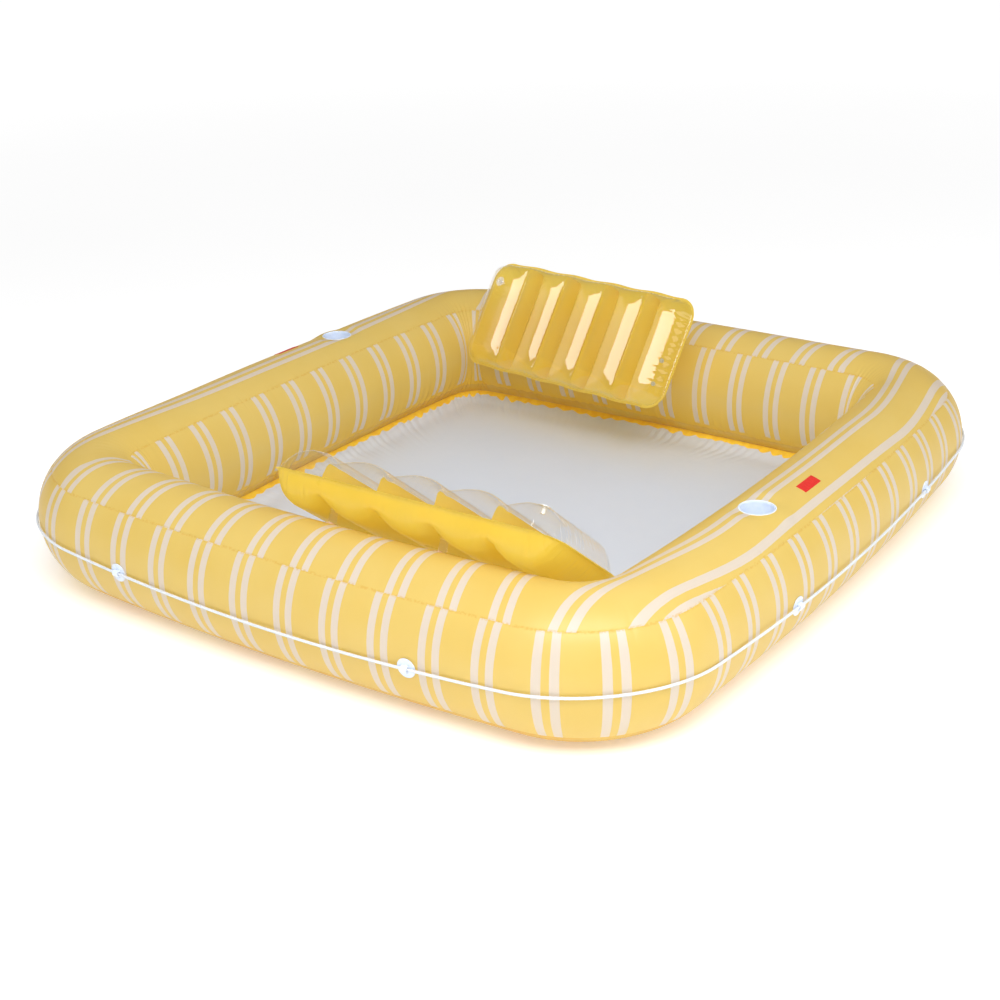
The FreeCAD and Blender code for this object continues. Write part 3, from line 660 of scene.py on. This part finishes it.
def floor_sheet():
    theta = np.radians(FLOOR_SEAM) + 0 * floor_loop.s
    rim = skin(floor_loop.centre, floor_loop.out, floor_loop.radius, theta, -0.0002)
    rim[:, :2] -= floor_loop.out * 0.0006
    outward = rim[:, :2] / np.linalg.norm(rim[:, :2], axis=1)[:, None]
    inward = -outward / np.sum(outward * floor_loop.out, axis=1)[:, None]
    folds = wave(0.062, RING_LENGTH, 51, FLOOR_STEPS, 0.3)
    broad = 0.5 + 0.5 * wave(0.16, RING_LENGTH, 52, FLOOR_STEPS, 0.3)
    scallop = wave(0.085, RING_LENGTH, 53, FLOOR_STEPS, 0.3)
    near = np.array([0, 0.002, 0.005, 0.009, 0.014, 0.020, 0.027, 0.035, 0.044, 0.055, 0.068, 0.083, 0.10, 0.12,
                     0.145, 0.175, 0.21, 0.25])
    rings = []
    border = []
    edge = 0.012 + 0.010 * np.abs(scallop) + 0.003 * folds
    low = 0.0016
    for distance in near:
        fall = min(1.0, distance / 0.058)
        height = low + (rim[:, 2] - low) * (1 - fall) ** 1.6
        swell = (distance / 0.03) * math.exp(1 - distance / 0.03)
        wide = (distance / 0.055) * math.exp(1 - distance / 0.055)
        broad_folds = wide * np.clip(broad, 0, 1.2) * (1 - smooth_step(distance, 0.10, 0.24))
        height = height + 0.0035 * swell * np.abs(folds) + 0.0026 * broad_folds
        ring = np.concatenate([rim[:, :2] + inward * distance, np.maximum(height, low)[:, None]], 1)
        rings.append(ring)
        border.append(edge - distance)
    last = rings[-1]
    centre = np.array([0.0, 0.0, low])
    steps = FLOOR_RINGS - len(near)
    for k in range(1, steps):
        f = k / steps
        ring = last * (1 - f) + centre * f
        ring[:, 2] = low + (last[:, 2] - low) * (1 - f) ** 4
        rings.append(ring)
        border.append(edge * 0 - 0.2)
    rings.reverse()
    border.reverse()
    points = np.stack(rings, 1)
    faces, ci, cj = grid_faces(FLOOR_STEPS, points.shape[1], True)
    values = np.stack(border, 1)
    corner_u = values[ci % FLOOR_STEPS, cj]
    uv = np.stack([corner_u, 0 * corner_u], -1)
    count = points.shape[1]
    all_points = np.concatenate([points.reshape(-1, 3), [[0, 0, low]]])
    faces = faces.tolist()
    uv = uv.reshape(-1, 2).tolist()
    middle = len(all_points) - 1
    for i in range(FLOOR_STEPS):
        faces.append([middle, i * count, ((i + 1) % FLOOR_STEPS) * count])
        uv += [[-0.2, 0]] * 3
    obj = add_mesh("floor_skin", all_points, faces, [("border", np.array(uv))], MAT_FLOOR)
    return obj


floor = floor_sheet()
bm = bmesh.new()
bm.from_mesh(floor.data)
bmesh.ops.recalc_face_normals(bm, faces=bm.faces)
if sum(f.normal.z for f in bm.faces) < 0:
    bmesh.ops.reverse_faces(bm, faces=bm.faces)
bm.to_mesh(floor.data)
bm.free()
thicken(floor, 0.0005)
finish_piece(floor, "ring", "floor_vinyl", "floor_sheet")

# ---- rope --------------------------------------------------------------------------------------
ROPE_R, ROPE_OUT, ROPE_Z, ROPE_RISE = 0.0035, 0.156, 0.146, 0.047
ROPE_SIDES = 12
STRAND_TURNS = 330


def rope_point(centre, out, radius):
    xy = centre + out * (radius + ROPE_OUT)[..., None]
    return np.concatenate([xy, (ROPE_Z + ROPE_RISE * cornerness(xy))[..., None]], -1)


def rope():
    path = rope_point(loop.centre, loop.out, loop.radius)
    tangent = np.roll(path, -1, 0) - np.roll(path, 1, 0)
    tangent /= np.linalg.norm(tangent, axis=1)[:, None]
    outward = np.concatenate([loop.out, np.zeros((LOOP_STEPS, 1))], 1)
    upward = np.cross(tangent, outward)
    turn = np.arange(ROPE_SIDES) * 2 * math.pi / ROPE_SIDES
    phase = 2 * math.pi * STRAND_TURNS * np.arange(LOOP_STEPS) / LOOP_STEPS
    lobes = 1 - 0.16 * np.abs(np.sin(1.5 * (turn[None, :] - phase[:, None]))) ** 0.7
    radius = ROPE_R * (0.0372 + lobes)
    points = (path[:, None, :] + radius[..., None] * (np.cos(turn)[None, :, None] * outward[:, None, :]
                                                      + np.sin(turn)[None, :, None] * upward[:, None, :]))
    i, j = np.meshgrid(np.arange(LOOP_STEPS), np.arange(ROPE_SIDES), indexing="ij")
    i, j = i.ravel(), j.ravel()
    ci = np.stack([i, i + 1, i + 1, i], 1)
    cj = np.stack([j, j, j + 1, j + 1], 1)
    faces = (ci % LOOP_STEPS) * ROPE_SIDES + cj % ROPE_SIDES
    uv = np.stack([ci * RING_LENGTH / LOOP_STEPS, cj / ROPE_SIDES], -1)
    return add_mesh("grab_line", points.reshape(-1, 3), faces, [("strand", uv)], MAT_ROPE)


finish_piece(rope(), "ring", "rope", "grab_rope")

# ---- pillows -----------------------------------------------------------------------------------
PILLOW_L, PILLOW_H, FLANGE, PILLOW_CORNER = 0.792, 0.342, 0.008, 0.066
LOBES, CREST, DIP, SHOULDER = 5, 0.0675, 0.0385, 0.060
INNER_L, INNER_H = PILLOW_L - 2 * FLANGE, PILLOW_H - 2 * FLANGE
LOBE = INNER_L / LOBES
RIB_X = [-0.5 * INNER_L + LOBE * (k + 1) for k in range(LOBES - 1)]
POSES = {
    "back": dict(centre=(-0.218, 0.638, 0.329), turn=-10.4, lean=33.5, roll=1.3),
    "front": dict(centre=(0.268, -0.695, 0.336), turn=180.1, lean=51.0, roll=-1.0),
}


def pillow_matrix(pose):
    turn = Matrix.Rotation(math.radians(pose["turn"]), 4, "Z")
    lean = Matrix.Rotation(-math.radians(pose["lean"]), 4, "X")
    roll = Matrix.Rotation(-math.radians(pose["roll"]), 4, "Y")
    return Matrix.Translation(pose["centre"]) @ turn @ lean @ roll


def arc_height(x, a, top, b):
    """Height at x of the circle through three (x, height) points."""
    (x1, y1), (x2, y2), (x3, y3) = a, top, b
    d = 2 * (x1 * (y2 - y3) + x2 * (y3 - y1) + x3 * (y1 - y2))
    s1, s2, s3 = x1 ** 2 + y1 ** 2, x2 ** 2 + y2 ** 2, x3 ** 2 + y3 ** 2
    cx = (s1 * (y2 - y3) + s2 * (y3 - y1) + s3 * (y1 - y2)) / d
    cy = (s1 * (x3 - x2) + s2 * (x1 - x3) + s3 * (x2 - x1)) / d
    r2 = (x1 - cx) ** 2 + (y1 - cy) ** 2
    return cy + np.sqrt(np.maximum(r2 - (x - cx) ** 2, 0))


def lobe_height(x):
    """Film above the weld plane along the pillow, between the ribs."""
    half = 0.5 * INNER_L
    knots = [(-half, 0.0)] + [(rx, DIP) for rx in RIB_X] + [(half, 0.0)]
    height = np.zeros_like(x)
    for k in range(LOBES):
        a, b = knots[k], knots[k + 1]
        top_x = b[0] - 0.55 * LOBE if k == 0 else a[0] + 0.55 * LOBE if k == LOBES - 1 else 0.5 * (a[0] + b[0])
        inside = (x >= a[0] - 1e-9) & (x <= b[0] + 1e-9)
        height = np.where(inside, arc_height(x, a, (top_x, CREST), b), height)
    return height


def film_height(x, z, seed):
    """The inflated film over the whole outline: lobes held down by the ribs, shoulders and gathers."""
    half_h = 0.5 * INNER_H
    half_l = 0.5 * INNER_L
    edge = half_h - np.abs(z)
    end = half_l - np.abs(x)
    lobes = lobe_height(x)
    outer = end < 0.45 * LOBE
    t = np.clip(1 - edge / SHOULDER, 0, 1)
    envelope = np.where(outer, lobes, CREST) * np.sqrt(np.maximum(1 - t ** 2, 0))
    held = np.where(outer, 0.0, 1 - (lobes - DIP) / (CREST - DIP))
    over = envelope - DIP
    over = np.where(over > 0.02, over, 0.0035 * np.log1p(np.exp(np.minimum(over, 0.02) / 0.0035)))
    height = envelope - over * np.clip(held, 0, 1)
    corner = PILLOW_CORNER - FLANGE
    dx = np.maximum(np.abs(x) - (half_l - corner), 0)
    dz = np.maximum(np.abs(z) - (half_h - corner), 0)
    inset = np.clip((corner - np.hypot(dx, dz)) / 0.030, 0, 1)
    height = height * np.where((dx > 0) & (dz > 0), np.sqrt(np.clip(1 - (1 - inset) ** 2, 0, 1)), 1.0)
    draws = np.random.default_rng(seed)
    gathers = np.zeros_like(x)
    for _ in range(10):
        period = draws.uniform(0.012, 0.026)
        gathers += np.cos(2 * math.pi * (x / period + draws.random()) + 3 * np.sin(18 * x + 6 * draws.random()))
    reach = np.exp(-edge / 0.018) * smooth_step(edge, 0.0, 0.006)
    height = height - 0.0019 * np.maximum(gathers / 3.2, -0.3) * reach
    side = np.zeros_like(z)
    for _ in range(8):
        period = draws.uniform(0.012, 0.024)
        side += np.cos(2 * math.pi * (z / period + draws.random()))
    reach = np.exp(-end / 0.018) * smooth_step(end, 0.0, 0.006)
    height = height - 0.0019 * np.maximum(side / 2.8, -0.3) * reach
    for k, rx in enumerate(RIB_X):
        for sign in (1, -1):
            lean = draws.uniform(-0.5, 0.5)
            along = edge - 0.012
            across = (x - rx - draws.uniform(-0.004, 0.004) - lean * np.maximum(0.05 - edge, 0))
            fade = smooth_step(along, 0.0, 0.016) * (1 - smooth_step(along, 0.022, 0.055))
            crease = np.exp(-(across / 0.005) ** 2) * fade
            height = height - 0.0030 * crease * (sign * z > 0)
    return height


GRID_X, GRID_Z = 280, 128
SEEDS = {"front": (61, 63), "back": (62, 64)}      # of the clear and the yellow film


def pillow_outline(u, v):
    """Maps the unit square (-1..1) to the flat film with rounded corners."""
    half_l, half_h = 0.5 * PILLOW_L, 0.5 * PILLOW_H
    x, z = u * half_l, v * half_h
    corner = PILLOW_CORNER
    cx, cz = half_l - corner, half_h - corner
    ax, az = np.abs(x) - cx, np.abs(z) - cz
    inside = (ax > 0) & (az > 0)
    ratio = np.maximum(ax, az) / np.maximum(np.hypot(ax, az), 1e-9)
    x = np.where(inside, np.sign(x) * (cx + ax * ratio), x)
    z = np.where(inside, np.sign(z) * (cz + az * ratio), z)
    return x, z


def uneven(count):
    """Marks from -1 to 1, closer together near both ends."""
    t = np.linspace(-1, 1, count)
    return np.sign(t) * (1 - (1 - np.abs(t)) ** 1.25)


def pillow_film(side, name, facing, seed, material):
    u, v = np.meshgrid(uneven(GRID_X), uneven(GRID_Z), indexing="ij")
    x, z = pillow_outline(u, v)
    height = film_height(x, z, seed)
    height = np.where((np.abs(x) > 0.5 * INNER_L) | (np.abs(z) > 0.5 * INNER_H), 0.0, height)
    height = np.maximum(height, 0) + 0.00035
    pull = 0.0035 * np.cos(math.pi * (x / LOBE)) ** 2
    z = z - np.sign(z) * pull * smooth_step(np.abs(z), 0.10, 0.17)
    points = np.stack([x, -facing * height, z], -1).reshape(-1, 3)
    faces, ci, cj = grid_faces(GRID_X, GRID_Z, False)
    if facing < 0:
        faces = faces[:, ::-1]
    obj = add_mesh(name, points, faces, (), material)
    obj.data.transform(pillow_matrix(POSES[side]))
    return obj


def pillow_ribs(side):
    """Upright walls between the two films, welded to both along their whole length."""
    parts = []
    reach = 0.5 * INNER_H - 0.006
    for k, rx in enumerate(RIB_X):
        z, d = np.meshgrid(reach * uneven(81), np.linspace(-1, 1, 17), indexing="ij")
        line = rx + 0 * z
        front = film_height(line, z, SEEDS[side][0]) - 0.0006
        rear = film_height(line, z, SEEDS[side][1]) - 0.0006
        y = np.where(d > 0, rear * d, front * d)
        bend = 0.0030 * np.cos(0.5 * math.pi * d) * np.sin(14 * z + 2 * k)
        points = np.stack([line + bend, y, z], -1).reshape(-1, 3)
        faces, _, _ = grid_faces(z.shape[0], z.shape[1], False)
        parts.append((points, faces.tolist(), Matrix.Identity(4)))
    points, faces = merge(parts)
    obj = add_mesh(side + "_rib_walls", points, faces, material=MAT_FILM)
    obj.data.transform(pillow_matrix(POSES[side]))
    return obj


for side in ("front", "back"):
    body = side + "_pillow"
    clear = pillow_film(side, side + "_clear_front", 1, SEEDS[side][0], MAT_CLEAR)
    finish_piece(clear, body, "clear_vinyl", side + "_pillow_clear_film")
    yellow = pillow_film(side, side + "_yellow_back", -1, SEEDS[side][1], MAT_FILM)
    finish_piece(yellow, body, "yellow_vinyl", side + "_pillow_back_film")
    ribs = pillow_ribs(side)
    finish_piece(ribs, body, "yellow_vinyl", side + "_pillow_ribs")

# ---- tabs: thin strips from the snap studs on the ring to the back film at two ribs --------------
HINGE_Y, HINGE_Z = {"front": -0.794645, "back": 0.795508}, 0.321668
TAB_W = 0.024


def pillow_tab(side, rib):
    """A limp strip: a round end on its stud, then up to the film, where it lies flat along the rib."""
    place = pillow_matrix(POSES[side])
    across = (place @ Vector((RIB_X[rib], 0, 0))).x
    stud = Vector((across, HINGE_Y[side], HINGE_Z))
    local = place.inverted() @ stud
    root = place @ Vector((RIB_X[rib], DIP + 0.010, local.z))
    film = place @ Vector((RIB_X[rib], DIP + 0.0012, local.z + 0.014))
    tail = stud - (root - stud).normalized() * 0.010 + Vector((0, 0, -0.001))
    t = np.linspace(0, 1, 25)[:, None]
    line = ((1 - t) ** 3 * np.array(tail) + 3 * (1 - t) ** 2 * t * np.array(stud)
            + 3 * (1 - t) * t ** 2 * np.array(root) + t ** 3 * np.array(film))
    half = 0.5 * TAB_W * np.sqrt(np.clip(1 - (1 - np.clip(t[:, 0] / 0.30, 0, 1)) ** 2, 0.02, 1))
    v = np.linspace(-1, 1, 9)
    points = line[:, None, :] + half[:, None, None] * v[None, :, None] * np.array((1.0, 0, 0))
    faces, _, _ = grid_faces(len(t), len(v), False)
    return points.reshape(-1, 3), faces, Matrix.Identity(4), stud, root


for side in ("front", "back"):
    strips = [pillow_tab(side, rib) for rib in (1, 3)]
    points, faces = merge([strip[:3] for strip in strips])
    tabs = add_mesh(side + "_tab_strips", points, faces, material=MAT_CLEAR)
    thicken(tabs, 0.0006)
    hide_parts(side + "_pillow_tabs")
    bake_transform(tabs)

# ---- carried-over hard parts -----------------------------------------------------------------
for node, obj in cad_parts.items():
    if obj.hide_render:
        continue
    material = MAT_VALVE
    if node.startswith("rope_holder"):
        material = MAT_MILKY
    elif node.startswith("label"):
        material = MAT_LABEL
    elif node.endswith("end_snaps"):
        material = MAT_CLEAR_SNAP
    elif "snap" in node:
        material = MAT_SNAP
    elif node.endswith(("_valve", "_plug")):
        material = MAT_WHITE_VALVE if node.startswith("front") else MAT_CLEAR_VALVE
    for index in range(max(1, len(obj.data.materials))):
        if len(obj.data.materials):
            obj.data.materials[index] = material
        else:
            obj.data.materials.append(material)

# ---- stage, lights, camera ---------------------------------------------------------------------
ground_mesh = bpy.data.meshes.new("ground")
SPAN = 40.0
square = [(-SPAN, -SPAN, 0), (SPAN, -SPAN, 0), (SPAN, SPAN, 0), (-SPAN, SPAN, 0)]
ground_mesh.from_pydata(square, [], [(0, 1, 2, 3)])
ground = bpy.data.objects.new("ground", ground_mesh)
bpy.context.scene.collection.objects.link(ground)
ground_look = Nodes("ground_look", roughness=0.9)
patchy = ground_look.ramp(ground_look.noise(0.7, 2), 0.3, 0.7)
ground_look.colour(ground_look.mix(patchy, (0.955, 0.955, 0.955, 1), (0.965, 0.965, 0.965, 1)))
ground_look.bsdf.inputs["Emission Color"].default_value = (1, 1, 1, 1)
place = ground_look.add("TexCoord").outputs["Object"]
away = ground_look.add("VectorMath", {0: place}, operation="LENGTH").outputs["Value"]
glow = ground_look.ramp(away, 2.5, 9.0, 0.24, 0.42)      # the sweep brightens away from the float
ground_look.tree.links.new(glow, ground_look.bsdf.inputs["Emission Strength"])
ground_mesh.materials.append(ground_look.material)
ground.location.z = -0.0005

SKY_LIGHT, ROOM_LIGHT = 0.62, 0.22
world = bpy.data.worlds.new("studio")
bpy.context.scene.world = world
world.use_nodes = True
# A white sweep lit from all round; shiny surfaces see a dimmer room, so that the softboxes show in them.
sky = world.node_tree.nodes["Background"]
sky.inputs[0].default_value = (1.0, 1.0, 1.0, 1)
path = world.node_tree.nodes.new("ShaderNodeLightPath")
seen = world.node_tree.nodes.new("ShaderNodeMapRange")
seen.inputs[3].default_value, seen.inputs[4].default_value = SKY_LIGHT, 1.02
world.node_tree.links.new(path.outputs["Is Camera Ray"], seen.inputs[0])
room = world.node_tree.nodes.new("ShaderNodeMath")
room.operation = "MULTIPLY_ADD"
world.node_tree.links.new(path.outputs["Is Glossy Ray"], room.inputs[0])
room.inputs[1].default_value = ROOM_LIGHT - SKY_LIGHT
world.node_tree.links.new(seen.outputs[0], room.inputs[2])
world.node_tree.links.new(room.outputs[0], sky.inputs[1])


def softbox(name, direction, distance, width, height, watts, target=(0, 0, 0.2)):
    light = bpy.data.lights.new(name, "AREA")
    light.shape = "RECTANGLE"
    light.size, light.size_y, light.energy = width, height, watts
    obj = bpy.data.objects.new(name, light)
    bpy.context.scene.collection.objects.link(obj)
    d = Vector(direction).normalized()
    obj.location = Vector(target) + d * distance
    obj.rotation_euler = d.to_track_quat("Z", "Y").to_euler()
    return obj


softbox("key_box", (0.43, -0.66, 0.62), 3.8, 3.3, 1.9, 104, target=(-0.2, 0.6, 0.35))
softbox("right_box", (1.0, 0.1, 0.45), 4.5, 2.5, 2.0, 20)
for name, direction, strength, spread in (("overhead", (-0.1, -0.15, 1.0), 0.10, 80),):
    lamp = bpy.data.lights.new(name, "SUN")
    lamp.energy, lamp.angle = strength, math.radians(spread)
    lamp_object = bpy.data.objects.new(name, lamp)
    bpy.context.scene.collection.objects.link(lamp_object)
    lamp_object.rotation_euler = Vector(direction).to_track_quat("Z", "Y").to_euler()

bpy.context.scene.view_settings.view_transform = "Standard"

camera_data = bpy.data.cameras.new("camera")
camera = bpy.data.objects.new("camera", camera_data)
bpy.context.scene.collection.objects.link(camera)
bpy.context.scene.camera = camera
AZIMUTH, ELEVATION, ROLL = 0.6182, 0.409, -0.0316
level = math.cos(ELEVATION)
toward = Vector((math.sin(AZIMUTH) * level, -math.cos(AZIMUTH) * level, math.sin(ELEVATION)))
right = Vector((0, 0, 1)).cross(toward).normalized()
up = toward.cross(right)
axis_x = right * math.cos(ROLL) + up * math.sin(ROLL)
axis_y = up * math.cos(ROLL) - right * math.sin(ROLL)
place = (2.31741, -3.34586, 1.8336)
camera.matrix_world = Matrix(((axis_x.x, axis_y.x, toward.x, place[0]), (axis_x.y, axis_y.y, toward.y, place[1]),
                              (axis_x.z, axis_y.z, toward.z, place[2]), (0, 0, 0, 1)))
camera_data.sensor_width = 36
camera_data.lens = 59.138
camera_data.clip_end = 200
